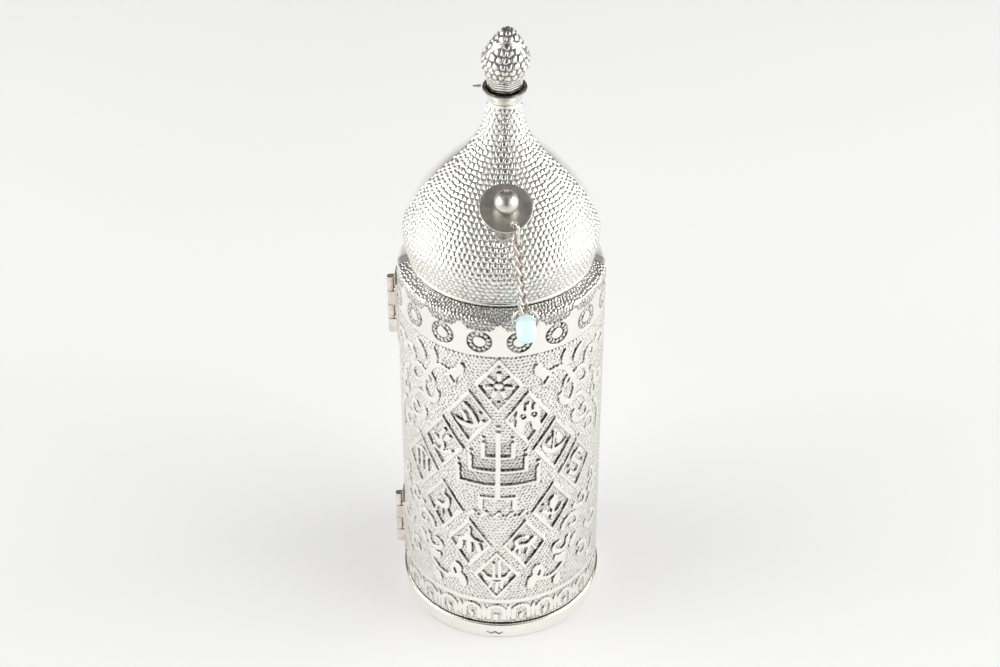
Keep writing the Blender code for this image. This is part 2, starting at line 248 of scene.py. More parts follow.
def cover_and_moat(distance):
    """How far a raised shape covers each point, and the narrow hollow just round it."""
    cover = smoothstep(0.14, -0.16, distance)
    return cover, ridge(np.maximum(distance, 0), 0.3) * (1 - cover)


def pebbles(angle, along, radius_at, pitch, seed, jitter=0.3):
    """How far each point lies inside its pebble, from 0 in the crease to 1 on top.
    The pebbles stand in staggered rows round the axis."""
    nearest = np.full(angle.shape, FAR)
    second = np.full(angle.shape, FAR)
    here = radius_at(along)
    own_row = np.floor(along / pitch)
    for row_step in (-1, 0, 1):
        row = own_row + row_step
        row_middle = (row + 0.5) * pitch
        count = np.maximum(np.round(2 * np.pi * radius_at(row_middle) / (1.08 * pitch)), 6)
        place = angle / (2 * np.pi) * count + 0.5 * (row % 2)
        own_column = np.floor(place)
        for column_step in (-1, 0, 1):
            column = own_column + column_step
            shift_across = jitter * (scatter(row, column % count, seed) - 0.5) * 2
            shift_along = jitter * (scatter(column % count, row, seed + 5) - 0.5) * 2
            across = (place - column - 0.5 - shift_across) / count * 2 * np.pi * here
            distance = np.hypot(across, along - row_middle - shift_along * pitch)
            second = np.minimum(second, np.maximum(distance, nearest))
            nearest = np.minimum(nearest, distance)
    depth = np.clip((second - nearest) / (0.6 * pitch), 0, 1)
    return depth * (2 - depth)


def wall_radius(height):
    return np.full(np.shape(height), WALL_RADIUS)


# Motifs, as strokes (points, width) or filled shapes (points, None) about the diamond's middle.
MOTIFS = {
    "flower": (
        [([(0, 0.2)], 2.7)]
        + [([(r * math.sin(a), 0.2 + rise * math.cos(a)) for r, rise in ((2.5, 2.6), (4.0, 4.6))], 1.6)
           for a in np.linspace(0, 2 * math.pi, 8)[:-1]]
        + [([(0, 7.2)], 1.1), ([(-2.2, -5.2)], 1.1), ([(2.2, -5.4)], 1.1), ([(0, -6.8)], 1.2)]
    ),
    "scales": [
        (through([(-1.6, 4.8), (0.2, 2.8), (1.5, 0.4), (2.2, -1.6)]), 1.7),
        ([(-4.8, -0.8), (-3.2, -3.6), (0.4, -4.6), (4.0, -2.8), (5.0, -0.6), (1.8, -2.2), (-1.8, -1.8)],
         None),
        ([(-1.8, 1.2), (-1.0, -0.9)], 1.7), ([(3.4, 2.0)], 1.3),
    ],
    "gate": [
        ([(-1.9, 1.8), (-2.6, -4.2)], 3.0), ([(1.9, 1.8), (2.7, -3.8)], 3.0),
        ([(-1.6, 1.0), (1.6, 1.0)], 5.0), ([(-2.6, 2.6), (-2.5, 4.9)], 2.0), ([(0, 2.6), (0, 5.2)], 1.9),
        ([(2.6, 2.6), (2.5, 4.8)], 2.0),
    ],
    "plant": [
        (through([(-0.4, -4.4), (0.2, -1.2), (-0.6, 1.8), (0.8, 5.2)]), 1.4),
        ([(0.4, 0.6), (1.6, 0.4), (3.6, 2.8), (2.4, 3.4), (0.8, 2.4)], None),
        ([(-0.4, -1.6), (-2.6, -1.4), (-3.8, 1.2), (-2.2, 1.4), (-0.8, 0.2)], None),
        (through([(-3.0, -3.6), (0, -4.6), (3.2, -3.2)]), 1.4),
    ],
    "boat": [
        ([(-4.6, 0.4), (-3.4, -2.6), (-0.4, -4.2), (3.0, -2.8), (5.0, 1.2), (2.6, -0.8), (-1.6, -1.6)], None),
        ([(-0.6, -1.6), (-0.2, 4.8)], 1.0), ([(0.4, 4.0), (3.0, 1.8), (2.2, -0.4), (0.6, -0.2)], None),
        ([(-1.2, 3.2), (-3.0, 1.2), (-1.4, -0.4)], None),
    ],
    "bars": [
        ([(-2.6, 2.4), (-2.4, -3.4)], 1.5), ([(-0.2, 4.8), (0.1, -3.6)], 1.5),
        ([(2.4, 2.6), (2.6, -2.8)], 1.5), (through([(-3.4, 3.4), (0, 5.0), (3.2, 3.2)]), 1.2),
    ],
    "serpent": [
        (through([(2.8, 3.2), (1.0, 5.2), (-1.6, 3.4), (0.2, 0.8), (1.8, -1.6), (-0.4, -4.0),
                  (-2.8, -2.4)]), 1.7),
        ([(2.9, 2.8)], 2.1), ([(-3.0, 0.4)], 1.3), ([(3.4, -0.6)], 1.2),
    ],
    "deer": [
        ([(-3.2, -1.6), (-2.6, 0.2), (0.2, 0.4), (1.0, 3.6), (2.2, 4.0), (2.6, 1.4), (1.6, -1.6),
          (-0.8, -2.0)], None),
        ([(-2.6, -1.8), (-3.0, -4.2)], 1.0), ([(-0.8, -2.0), (-0.6, -5.2)], 1.0),
        ([(1.2, -1.6), (2.4, -4.4)], 1.0), (through([(1.4, 3.8), (0.2, 5.0), (0.6, 6.4)]), 0.9),
    ],
    "tree": [
        ([(0.2, -1.2), (-1.3, 0.6), (-1.2, 3.2), (0.4, 4.6), (1.8, 3.2), (1.8, 0.6)], None),
        ([(0.2, -1.0), (-0.2, -5.0)], 1.3), (through([(-3.8, -0.8), (-2.2, -2.2), (-0.4, -2.6)]), 1.3),
        (through([(3.4, -0.6), (2.0, -2.4), (0.2, -3.4)]), 1.3), ([(-3.2, 1.8)], 1.2),
    ],
    "tent": [
        ([(0.2, 6.6), (0.1, 4.2)], 1.1),
        ([(-4.8, 1.0), (-1.6, 2.4), (0.1, 4.4), (1.8, 2.4), (4.8, 1.0), (0, 0.6)], None),
        ([(-2.8, -0.2), (-3.4, -3.0)], 2.1), ([(0, -0.2), (0.1, -3.8)], 2.1),
        ([(2.8, -0.2), (3.5, -2.8)], 2.0),
    ],
    "runner": [
        ([(-3.8, -1.0), (-2.2, 0.6), (0.6, 0.8), (2.2, 2.8), (4.0, 1.8), (3.0, -0.4), (0.4, -1.4),
          (-2.2, -1.6)], None),
        ([(-3.0, -1.4), (-4.4, -2.6)], 1.1), ([(-1.8, -1.2), (-2.0, -3.8)], 1.1),
        ([(1.4, -1.0), (0.4, -4.2)], 1.1), ([(2.4, -0.8), (3.4, -2.6)], 1.0),
        (through([(-2.8, 0.0), (-3.0, 2.2), (-1.0, 3.4), (0.6, 2.6)]), 1.3),
    ],
    "sheaf": [
        ([(-1.0, 5.4), (-0.9, -0.6)], 1.1), ([(0.8, 7.0), (0.9, -0.6)], 1.2),
        (through([(-4.6, 1.2), (-3.2, -0.6), (0, -1.2), (3.2, -0.4), (4.4, 1.8)]), 1.5),
        (through([(-3.8, -1.6), (0, -2.8), (3.6, -1.6)]), 1.2), ([(-1.6, -3.2), (-2.2, -5.0)], 1.2),
        ([(0.2, -3.4), (-0.2, -7.2)], 1.2), ([(1.9, -3.0), (1.6, -5.4)], 1.2),
    ],
}
# Round bosses in the gate, each in its own hollow.
GATE_BOSSES = ((-1.75, 1.0), (1.75, 1.2))

# The motifs by row, from the top: the middle one, or the left and the right one.
MOTIF_ROWS = (
    ("flower",), ("scales", "gate"), ("plant", "boat"), ("bars", "serpent"), ("deer", "tree"),
    ("tent", "runner"), ("sheaf",),
)

# A candelabrum of seven arms: for each pair, half its span and the heights of bar and tip.
LAMP_ARMS = ((4.75, 80.25, 86.2), (9.0, 74.25, 80.2), (13.05, 68.25, 74.9))
LAMP_STEM = (90.5, 63.2)
LAMP_FOOT = (5.5, 63.0, 58.2)
LAMP_BAR, LAMP_UPRIGHT = 1.3, 1.45
LAMP_CURVE = 0.0035

# The scrolls right of the middle line, with points as (angle, height). First the filled leaves.
LEAVES = (
    ((19.0, 114.5), (19.6, 116.6), (21.8, 117.0), (24.0, 114.6), (27.5, 113.4), (29.4, 111.8), (28.6, 109.0),
     (26.4, 107.2), (24.0, 107.8), (23.6, 110.2), (22.2, 111.8), (20.2, 112.6)),
    ((38.8, 119.2), (36.8, 118.6), (35.6, 116.4), (35.8, 114.0), (37.4, 112.8), (41.0, 112.6), (40.9, 115.6)),
    ((17.5, 23.4), (18.8, 26.2), (20.8, 27.4), (20.8, 29.6), (23.0, 31.3), (26.2, 30.9), (28.4, 28.8),
     (28.2, 26.0), (26.6, 24.2), (23.4, 23.6), (21.6, 21.4), (18.6, 21.0)),
    ((34.7, 32.4), (35.0, 30.2), (38.0, 28.7), (42.4, 29.0), (43.8, 31.2), (40.6, 32.4), (37.4, 32.4)),
    ((34.2, 21.6), (36.0, 23.8), (39.0, 22.8), (39.8, 20.6), (37.0, 19.0), (34.6, 19.8)),
    ((43.6, 113.6), (46.4, 117.4), (52.0, 118.6), (50.4, 115.2), (46.8, 111.6)),
    ((46.2, 77.4), (49.0, 80.0), (53.2, 80.6), (51.6, 77.6), (48.6, 75.4)),
    ((45.6, 33.0), (47.0, 36.6), (51.6, 38.0), (52.0, 35.0), (48.8, 32.6)),
)

# Curled leaf ends, as (angle, height, reach, where the curl starts in degrees, its turn in degrees).
CURLS = (
    (50.5, 104.4, 4.7, 165, -330), (59.6, 111.4, 3.6, 250, -300), (53.2, 90.0, 4.4, 160, 330),
    (59.8, 81.8, 3.7, 120, -300), (70.4, 112.2, 4.0, 200, -300), (38.2, 36.6, 3.8, 20, -320),
    (47.6, 43.9, 4.1, 190, -330), (55.0, 51.8, 3.7, 200, 310), (56.6, 27.4, 3.7, 110, -320),
    (68.0, 38.2, 4.2, 180, 310), (70.0, 98.4, 3.4, 160, 300), (69.6, 52.4, 3.6, 200, -300),
)

# Stems, with their width at the start and at the end, and the veins that are cut into leaves.
STEMS = (
    (((28.4, 112.8), (33.0, 113.2), (37.5, 112.2), (41.0, 109.6), (43.5, 107.2)), 1.5, 1.9),
    (((43.4, 107.4), (45.7, 104.6), (45.8, 101.0), (43.6, 98.2), (40.2, 97.4), (37.2, 98.8), (36.0, 101.6)),
     2.0, 2.2),
    (((42.4, 108.4), (39.9, 107.6), (38.3, 106.0), (38.6, 104.2)), 1.8, 1.3),
    (((41.6, 95.8), (45.0, 97.4), (49.5, 98.0), (53.4, 96.4), (56.0, 94.0)), 1.4, 1.9),
    (((61.0, 104.0), (65.0, 101.6), (67.4, 97.6), (66.0, 93.4), (62.6, 92.8), (62.0, 96.0)), 1.8, 1.4),
    (((66.0, 89.0), (70.0, 86.0), (71.4, 81.0), (69.4, 76.6)), 1.9, 1.3),
    (((25.6, 24.6), (31.0, 23.9), (36.5, 25.2), (42.0, 28.2)), 1.8, 1.6),
    (((62.0, 47.0), (66.0, 49.4), (69.0, 54.0), (68.0, 59.0), (64.6, 60.4), (63.4, 57.4)), 1.8, 1.4),
    (((64.0, 22.0), (68.0, 23.6), (70.6, 28.0)), 1.8, 1.2),
)
VEINS = (((24.6, 26.6), (25.6, 28.6)), ((24.6, 109.0), (27.2, 111.2)))
VEIN_WIDTHS = (0.7, 0.4)


def as_arc(points):
    """From (angle in degrees, height) to (distance round the wall, height)."""
    return [(math.radians(angle) * WALL_RADIUS, height) for angle, height in points]


def curl(angle, height, reach, start, turn):
    """A spiral that winds inwards, in the unrolled wall's plane."""
    share = np.linspace(0, 1, 14)
    way, radius = np.radians(start + turn * share), reach * (1 - 0.68 * share)
    across = math.radians(angle) * WALL_RADIUS + radius * np.cos(way)
    return np.stack([across, height + radius * np.sin(way)], axis=1)


def scroll_distance(u, z):
    """Leaf scrolls, the same to the left as to the right."""
    side = np.abs(u)

    def stem(points, *widths):
        return stroke(side, z, through(as_arc(points), 4), *widths)

    shapes = [patch(side, z, as_arc(points)) for points in LEAVES]
    shapes += [stem(*place) for place in STEMS]
    shapes += [stroke(side, z, curl(*place), 1.5 + 0.16 * place[2], 1.3) for place in CURLS]
    return np.maximum(union(*shapes), -union(*(stem(points, *VEIN_WIDTHS) for points in VEINS)))


def lamp_distance(u, z):
    """The stem with its flame, the bar, uprights and flames of each pair of arms, and the foot."""
    top, bottom = LAMP_STEM
    side = np.abs(u)
    shapes = [stroke(u, z, [(0, top), (0, bottom)], 1.6), stroke(u, z, [(0, top + 2.2)], 1.6)]
    for reach, bar, tip in LAMP_ARMS:
        arm = np.abs(z - bar - LAMP_CURVE * (u * u)) - LAMP_BAR / 2
        shapes.append(np.maximum(arm, side - reach))
        shapes.append(stroke(side, z, [(reach, bar + 0.2), (reach, tip)], LAMP_UPRIGHT))
        shapes.append(stroke(side, z, [(reach + 0.1, tip + 2.1)], 1.5))
    reach, bar, foot = LAMP_FOOT
    shapes.append(stroke(u, z, [(-reach, bar), (reach, bar)], 1.5))
    shapes.append(stroke(side, z, [(reach, bar), (reach, foot)], 1.6))
    return union(*shapes)


def lamp_shade(u, z):
    """How dark the ground between the lamp's arms is: darkest above the bars and beside the uprights."""
    shade = np.zeros(u.shape)
    for reach, bar, tip in LAMP_ARMS:
        rise = z - bar - LAMP_CURVE * u * u - LAMP_BAR / 2
        gap = reach - LAMP_UPRIGHT / 2 - np.abs(u)
        inside = smoothstep(-0.2, 0.1, rise) * smoothstep(tip + 1 - bar, tip - bar - 1, rise)
        line = np.maximum(smoothstep(1.3, 0.3, rise), smoothstep(0.9, 0.2, gap))
        shade = np.maximum(shade, inside * smoothstep(-0.2, 0.1, gap) * (0.32 + 0.52 * line))
    return shade


def lozenges():
    """Each diamond's middle and the motif in it."""
    for row, names in enumerate(MOTIF_ROWS):
        shift = (3 - abs(row - 3)) * LOZENGE_SHIFT
        height = LOZENGE_TOP - row * LOZENGE_DROP
        for side, name in zip((-1, 1) if len(names) == 2 else (0,), names):
            yield side * shift, height, name


def motif_distance(u, z, name):
    """Distance from the picture in a diamond, about the diamond's middle."""
    shapes = []
    for points, width in MOTIFS[name]:
        shapes.append(patch(u, z, points) if width is None else stroke(u, z, points, width))
    picture = union(*shapes)
    for spot in GATE_BOSSES if name == "gate" else ():
        boss = stroke(u, z, [spot], 1.9)
        picture = np.maximum(picture, -np.maximum(boss, -0.45 - boss))
    return picture


def field_relief(u, z, angle):
    """Height of the wall between the two plain bands, and its tarnish with painted shadows and painted shade.
    """
    scale = LOZENGE_HALF_WIDTH * LOZENGE_HALF_HEIGHT / math.hypot(LOZENGE_HALF_WIDTH, LOZENGE_HALF_HEIGHT)
    frames, inside, motif = (np.full(u.shape, distance) for distance in (FAR, -FAR, FAR))
    for across, height, name in lozenges():
        du, dz = u - across, z - height
        edge = (np.abs(du) / LOZENGE_HALF_WIDTH + np.abs(dz) / LOZENGE_HALF_HEIGHT - 1) * scale
        frames = np.minimum(frames, np.abs(edge + LOZENGE_FRAME / 2) - LOZENGE_FRAME / 2)
        inside = np.maximum(inside, -edge - LOZENGE_FRAME)
        near = edge < -LOZENGE_FRAME
        motif[near] = np.minimum(motif[near], motif_distance(du[near], dz[near], name))
    # Scrolls, lamp and garland keep clear of the diamonds.
    others = union(lamp_distance(u, z), scroll_distance(u, z), garland_distance(u, z))
    raised = union(np.where(inside > -LOZENGE_FRAME - 0.5, FAR, others), frames, motif)
    within = smoothstep(-0.15, 0.15, inside)
    cover, moat = cover_and_moat(raised)
    grain = blend(pebbles(angle, z, wall_radius, 1.22, 3), pebbles(angle, z, wall_radius, 1.05, 8), within)
    sunk = 0.22 * smoothstep(-0.2, 1.0, inside)
    top = 0.56 - 0.06 * within + 0.12 * smoothstep(0, -1.1, raised)
    # A painted shadow beside each raised shape, up and towards the middle.
    shadow = toward(cover, u, 2, 2) * (1 - cover)
    # Painted light: the pebbles' darkening fades towards the sides, which mirror the bright softboxes.
    pale = 1 - 0.7 * smoothstep(12, 55, degrees_aside(angle))
    tarnish_and_shade = 0.12 * pale * (1 - grain) ** 1.6 * (1 + 0.4 * within) + 0.1 * moat + 0.76 * shadow
    tarnish_and_shade += lamp_shade(u, z) * (1 - 0.45 * grain)
    return blend(0.4 * grain - 0.12 * moat - sunk, top, cover), tarnish_and_shade * (1 - cover)


def garland_distance(u, z):
    """A small garland of leaves and berries under the lamp."""
    shapes = []
    for index in range(-2, 3):
        across = index * 4.1
        shapes.append(stroke(u, z, [(across - 1.3, 54.4), (across + 0.5, 56.4)], 0.9, 1.5))
        shapes.append(stroke(u, z, [(across + 1.9, 54.9)], 1.1))
    return union(*shapes)


def arcade_distance(u, z):
    """A row of round arches with a bud in each and a leaf between them."""
    period, reach, crown, foot = 8.3, 2.55, 11.3, 7.4
    place = np.mod(u + period / 2, period) - period / 2
    over = np.hypot(place, z - crown) - reach
    legs = np.where(z > crown, over, np.abs(place) - reach)
    arch = np.maximum(np.abs(legs) - 0.78, foot - z)
    between = np.mod(u, period) - period / 2
    leaf = patch(between, z, [(0, 14.4), (-0.8, 12.4), (-0.6, 9.0), (0, 7.0), (0.6, 9.0), (0.8, 12.4)])
    return union(arch, leaf, stroke(place, z, [(0, 7.6), (0, 9.6)], 1.0, 1.6))


def toward(cover, u, across, up):
    """The shape's cover, moved up and towards the middle line by whole mesh steps: it paints the shadow the
    shape casts on the ground.
    """
    beside = 4
    moved = np.concatenate([cover[:, :1].repeat(up, axis=1), cover[:, :-up]], axis=1)
    left = np.concatenate([moved[across:], moved[-1:].repeat(across, axis=0)])
    right = np.concatenate([moved[:1].repeat(across, axis=0), moved[:-across]])
    return np.where(u > beside, left, np.where(u < -beside, right, moved))


def slope_shade(relief, angle, along, radius):
    """Painted dark reflection on the slopes that face up and towards the middle line, which would mirror the
    dim front of the tent.
    """
    up = np.gradient(relief, along[0, 1] - along[0, 0], axis=1)
    across = np.gradient(relief, radius * (angle[1, 0] - angle[0, 0]), axis=0)
    facing = -0.8 * up + 0.6 * across * np.tanh(6 * angle)
    return smoothstep(0.3, 0.85, facing)


def base_relief(u, z, angle):
    """The bottom band: an arcade on pebbled ground, with a painted shadow beside the arches."""
    cover, moat = cover_and_moat(arcade_distance(u, z))
    grain = pebbles(angle, z, wall_radius, 1.0, 12)
    # A painted shadow beside the arches, up and towards the middle.
    shadow = toward(cover, u, 1, 2) * (1 - cover)
    tarnish_and_shade = (0.3 * (1 - grain) ** 1.4 + 0.15 * moat + 0.6 * shadow) * (1 - cover)
    return blend(0.34 * grain - 0.12 * moat, 0.46, cover), tarnish_and_shade


def crown_relief(u, z, angle):
    """The plain band, with its row of beaded rings, and the scalloped fringe above it."""
    ring_arc = math.radians(RING_SPACING) * WALL_RADIUS
    from_ring, rise = np.mod(u, ring_arc) - ring_arc / 2, z - RING_HEIGHT
    beside = np.abs(from_ring)
    off = np.hypot(from_ring, rise) - RING_RADIUS
    bead_arc = 2 * np.pi / RING_BEADS
    across = (np.mod(np.arctan2(from_ring, rise), bead_arc) - bead_arc / 2) * (RING_RADIUS + off)
    bead = np.sqrt(np.clip(1 - (across / 0.66) ** 2 - (off / 0.78) ** 2, 0, 1))
    in_ring = smoothstep(1.12, 0.92, np.abs(off))
    level = 0.34
    relief = blend(level, 0.04 + 0.36 * bead, in_ring)
    tarnish_and_shade = in_ring * 0.9 * (1 - bead) ** 0.8
    stem = smoothstep(0.1, -0.15, beside - 1.3) * smoothstep(129.9, 130.3, z)
    stem_line = smoothstep(0.32, 0.12, np.abs(beside - 1.15)) * stem
    speck = 0.4 * (0.5 + 0.5 * np.sin(z * 5) * np.cos(u * 6))
    relief = blend(relief, level + 0.05 - 0.15 * stem_line, stem)
    tarnish_and_shade = blend(tarnish_and_shade, np.maximum(speck, 0.8 * stem_line), stem)
    scallop = 131.5 + 2.3 * smoothstep(3.4, 5.9, beside) + 0.25 * np.sin(u * 4.7)
    fringe = smoothstep(scallop - 0.12, scallop + 0.2, z)
    fringe_line = ridge(z - scallop, 0.3)
    coarse = pebbles(angle, z, wall_radius, 1.15, 21, 0.4)
    relief = blend(relief, 0.02 + 0.36 * coarse, fringe) - 0.14 * fringe_line
    return relief, blend(tarnish_and_shade, 0.17 + 0.55 * (1 - coarse), fringe) + 0.6 * fringe_line


def wall_relief(angle, along, height):
    """Height of the whole front wall and its shoulder, and its tarnish with painted shade and shadows, at an
    angle in radians.
    Along is the distance up the outline, which is the height on the upright part."""
    turn = np.radians(TURN_AT_TOP + TURN_SLOPE * (np.minimum(height, TURN_END) - TURN_HEIGHT))
    u, z = (angle - turn) * WALL_RADIUS, along
    relief, tarnish_and_shade = field_relief(u, z, angle)

    # The bottom band lies between a smooth line and a groove.
    bottom, top = BASE_LINE
    band, band_tarnish_and_shade = base_relief(u, z, angle)
    in_band = smoothstep(bottom + 0.1, bottom - 0.15, z)
    line = smoothstep(0.15, -0.25, np.abs(z - (bottom + top) / 2) - (top - bottom) / 2)
    foot = smoothstep(BASE_GROOVE + 0.5, BASE_GROOVE - 0.1, z)
    patchy_dark = 0.75 + 0.25 * np.sin(u * 0.31 + 1) * np.sin(u * 0.17 + 0.4)
    relief = blend(blend(blend(relief, band, in_band), 0.44, line), -0.1, foot)
    tarnish_and_shade = (blend(tarnish_and_shade, band_tarnish_and_shade, in_band) + 0.3 * ridge(z - top, 0.5)) * (1 - line)
    tarnish_and_shade = np.maximum(tarnish_and_shade * (1 - foot), patchy_dark * foot)

    # The plain band starts at a dashed line.
    crown, crown_tarnish = crown_relief(u, z, angle)
    plain = smoothstep(BAND_BOTTOM - 0.12, BAND_BOTTOM + 0.2, z)
    dashes = 0.5 + 0.5 * np.sin(2 * np.pi * u / 1.17)
    below = ridge(z - BAND_BOTTOM + 0.3, 0.35) * (1 - plain)
    relief = blend(relief, crown, plain) - 0.14 * below
    tarnish_and_shade = blend(tarnish_and_shade, crown_tarnish, plain) + 0.7 * below * dashes

    # A plain margin at the parting, where the hinges are, and a plain flange under the dome.
    # Painted shade: slopes that face up and towards the middle are darkened as if they mirrored the dim
    # front.
    tarnish_and_shade += 0.9 * slope_shade(relief, angle, along, WALL_RADIUS)
    # Painted light: all the darkening fades towards the sides, which mirror the bright softboxes.
    tarnish_and_shade *= 1 - 0.4 * smoothstep(28, 72, degrees_aside(angle))
    margin = smoothstep(MARGIN_ANGLE + MARGIN_FADE, MARGIN_ANGLE, degrees_aside(angle))
    kept = margin * smoothstep(FLANGE_FULL, FLANGE_START, along)
    return relief * kept, np.clip(tarnish_and_shade * kept, 0, 1)


def dome_relief(angle, along, height):
    """The hammered dome: rows of pebbles, and a smooth bead at the foot and the neck's end."""
    grain = pebbles(angle, along, dome_radius, 1.65, 31, 0.2)
    hammered = smoothstep(1.5, 2.2, along) * smoothstep(0.8, 1.6, DOME_LENGTH - along)
    foot_bead = 0.5 * np.sqrt(np.clip(1 - ((along - 0.7) / 0.7) ** 2, 0, 1))
    groove = ridge(along - 1.7, 0.3)
    relief = 0.5 * grain * hammered + foot_bead - 0.1 * groove
    # Painted light: the darkening is strongest at the front middle and fades towards the brightly mirrored
    # sides.
    near_middle = 1 - 0.6 * smoothstep(10, 50, degrees_aside(angle))
    # Painted shade on the slopes that face up and towards the middle.
    slopes = slope_shade(relief, angle, along, DOME_SHADE_RADIUS)
    tarnish_and_shade = (0.6 * (1 - grain) ** 1.4 + 0.36 * slopes) * hammered
    # A painted dark reflection: a stripe down the front of the neck and upper dome.
    dark_reflection_streak = smoothstep(13, 4, degrees_aside(angle)) * smoothstep(160, 172, height)
    tarnish_and_shade += 0.2 * dark_reflection_streak * (1 - 0.6 * grain)
    return relief, np.clip((tarnish_and_shade + 0.5 * groove) * near_middle, 0, 1)


def bud_relief(angle, radius, along, height):
    """Scales on the bud's wide part, fine wrinkles round its stalk, and a smooth margin at the parting."""
    grain = pebbles(angle, along, bud_radius, 2.0, 43, 0.22)
    scaled = smoothstep(200.8, 203.2, height)
    wrinkles = 0.5 + 0.5 * np.sin(height * 7 + np.sin(angle * 7))
    split = FRONT_CUT - BUD_SPLIT_SLOPE * np.maximum(height - BUD_SPLIT_HEIGHT, 0)
    inner = smoothstep(0.75, 1.0, np.abs(-radius * np.cos(angle) - split))
    relief = blend(0.22, blend(0.09 * wrinkles, 0.44 * grain - 0.14, scaled), inner)
    tarnish_and_shade = blend(0.16 * (1 - wrinkles), (1 - grain) ** 0.9, scaled) * inner
    return relief, np.clip(tarnish_and_shade, 0, 1)


def plain_relief(angle, along, height):
    """Raised and planished by hand: very shallow dents, and some tarnish that polishing left."""
    dents = np.sin(angle * 9 + along * 0.21) * np.sin(along * 0.37 + angle * 4)
    return 0.03 * dents, np.full(angle.shape, 0.02)


def radius_along(outline):
    lengths = lengths_along(outline)
    return lambda along: np.interp(along, lengths, outline[:, 0])


DOME_OUTER = through(DOME_STATIONS, 10)
DOME_LENGTH = lengths_along(DOME_OUTER)[-1]
dome_radius = radius_along(DOME_OUTER)
BUD_OUTER = through(BUD_STATIONS, 10)
BUD_OUTER[:, 0] = np.maximum(BUD_OUTER[:, 0], 0)
bud_radius = radius_along(BUD_OUTER)
BUD_SURFACE = evenly(BUD_OUTER, BUD_STEP)


# Meshes.


def add_object(name, data):
    obj = bpy.data.objects.new(name, data)
    bpy.context.scene.collection.objects.link(obj)
    return obj


# The darkening attribute: oxide in the hollows, and also painted shade, painted shadows and painted dark
# reflections.
def set_tarnish_and_shade(mesh, values):
    attribute = mesh.attributes.get("tarnish_and_shade") or mesh.attributes.new("tarnish_and_shade", "FLOAT", "POINT")
    attribute.data.foreach_set("value", values.astype(np.float32))


def read_vectors(values, key):
    """A mesh's positions or normals, in a row for each vertex."""
    made = np.zeros(len(values) * 3, np.float32)
    values.foreach_get(key, made)
    return made.reshape(-1, 3)


def mesh_object(name, vertices, faces, finish, tarnish_and_shade=None, sharp=None):
    """A smooth mesh from positions in millimetres. Sharp tells hard edges from the vertices at their ends."""
    mesh = bpy.data.meshes.new(name)
    mesh.from_pydata((vertices.reshape(-1, 3) * MM).tolist(), [], faces)
    mesh.shade_smooth()
    if sharp:
        ends = np.zeros(len(mesh.edges) * 2, np.int32)
        mesh.edges.foreach_get("vertices", ends)
        hard = mesh.attributes.new("sharp_edge", "BOOLEAN", "EDGE")
        hard.data.foreach_set("value", sharp(ends.reshape(-1, 2)))
    if tarnish_and_shade is not None:
        set_tarnish_and_shade(mesh, tarnish_and_shade.ravel())
    mesh.update()
    mesh.materials.append(finish)
    return add_object(name, mesh)


def half_angles(radii, half):
    """The middle angle of a half, and how far it reaches to each side at each radius."""
    if half == "front":
        return 0, np.arccos(np.clip(-FRONT_CUT / radii, -1, 1))
    return np.pi, np.arccos(np.clip(REAR_CUT / radii, -1, 1))


def swept_half(name, outer, inner, half, columns, relief, finish, node, **options):
    """One half of a turned shell, put on its body in place of that half's CAD node."""
    shell = swept_shell(name, outer, inner, half, columns, relief, finish, **options)
    return put(shell, f"{half}_half", f"{half}_{node}")


def swept_shell(
    name, outer, inner, half, columns, relief, finish, leaning=False, along_start=0.0, shares=(-1, 1)
):
    """One half of a turned shell, or the given share of it. Outer runs up the outside and carries the
    relief, and inner runs down the inside. The result is one closed body."""
    outer = np.array(outer, float)
    loop = np.concatenate([outer, np.array(inner, float)])
    count, rows = len(loop), len(outer)
    centre, reach = half_angles(loop[:, 0], half)
    angle = centre + np.linspace(*shares, columns + 1)[:, None] * reach
    radius, height = (np.tile(loop[:, k], (columns + 1, 1)) for k in (0, 1))
    along = np.tile(lengths_along(outer) + along_start, (columns + 1, 1))
    run = np.gradient(outer, axis=0)
    run /= np.linalg.norm(run, axis=1)[:, None]
    raised, darkened = relief(angle[:, :rows], along, height[:, :rows])
    radius[:, :rows] += raised * run[:, 1]
    height[:, :rows] -= raised * run[:, 0]
    tarnish_and_shade = np.full(radius.shape, INSIDE_TARNISH)
    tarnish_and_shade[:, :rows] = darkened
    x = radius * np.sin(angle) + (lean_at(height) if leaning else 0)
    vertices = np.stack([x, -radius * np.cos(angle), height], axis=2)

    numbers = np.arange((columns + 1) * count).reshape(columns + 1, count)
    upper = np.roll(numbers, -1, axis=1)
    quads = np.stack([numbers[:-1], numbers[1:], upper[1:], upper[:-1]], axis=2).reshape(-1, 4).tolist()
    caps = [numbers[0].tolist(), numbers[-1][::-1].tolist()]
    creased = np.zeros(count, bool)
    creased[[0, rows - 1, *range(rows, count)]] = True

    def sharp(ends):
        column, row = ends // count, ends % count
        along_row = (row[:, 0] == row[:, 1]) & creased[row[:, 0]]
        on_cap = (column[:, 0] == column[:, 1]) & ((column[:, 0] == 0) | (column[:, 0] == columns))
        return along_row | on_cap

    return mesh_object(name, vertices, quads + caps, finish, tarnish_and_shade, sharp)


